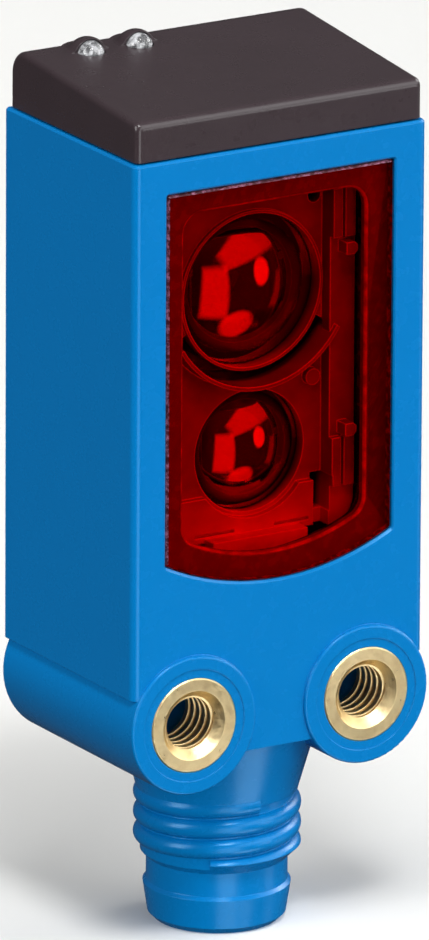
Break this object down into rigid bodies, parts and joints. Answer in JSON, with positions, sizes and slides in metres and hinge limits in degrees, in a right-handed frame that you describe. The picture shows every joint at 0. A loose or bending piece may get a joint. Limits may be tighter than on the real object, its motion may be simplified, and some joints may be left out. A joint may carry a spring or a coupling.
{
  "type": "photoelectric sensor",
  "caption": "Miniature block-shaped photoelectric sensor: blue moulded housing, dark cover with indicator domes, red front window over lenses, brass fixing threads and an M8 plug.",
  "frame": {"origin": "midway between the axes of the two fixing threads, in the plane of the front faces of their bosses", "axes": "+X across the sensor, +Y from the window towards the back, +Z from the plug up to the cover; the optical axes point along -Y"},
  "size_m": [0.0164, 0.0121, 0.0429],
  "materials": {
    "blue_housing": "fine satin, moulded",
    "black_cover": "fine satin, moulded",
    "red_window": "polished, transparent dark red",
    "window_seal": "soft adhesive bead",
    "clear_lens": "polished, clear",
    "carrier_plastic": "smooth moulded",
    "brass": "turned",
    "contact_gold": "gold plated",
    "contact_insulator": "moulded",
    "seal_rubber": "matte",
    "circuit_board": "solder mask",
    "chip_black": "moulded package",
    "shield_metal": "tinned sheet",
    "flex_foil": "polyimide foil",
    "clear_pipe": "polished, clear",
    "led_package": "moulded package",
    "wire_insulation": "smooth",
    "ceramic": "ceramic with tinned ends"
  },
  "bodies": {
    "root": {"housing": "blue_housing", "top_cover": "black_cover", "cover_gasket": "seal_rubber", "left_light_pipe": "clear_pipe", "right_light_pipe": "clear_pipe", "front_window": "red_window", "window_seal": "window_seal", "optics_carrier": "carrier_plastic", "receiver_lens": "clear_lens", "emitter_lens": "clear_lens", "receiver_aperture": "shield_metal", "receiver_shield": "shield_metal", "receiver_chip": "chip_black", "emitter_led": "led_package", "optics_board": "circuit_board", "main_board": "circuit_board", "flex_link": "flex_foil", "controller_chip": "chip_black", "output_driver": "chip_black", "voltage_regulator": "chip_black", "board_capacitors": "ceramic", "left_indicator_led": "led_package", "right_indicator_led": "led_package", "connector_board": "circuit_board", "lead_wires": "wire_insulation", "contact_carrier": "contact_insulator", "contact_seal": "seal_rubber", "left_thread_insert": "brass", "right_thread_insert": "brass", "contact_pin_1": "contact_gold", "contact_pin_2": "contact_gold", "contact_pin_3": "contact_gold", "contact_pin_4": "contact_gold"}
  },
  "joints": []
}
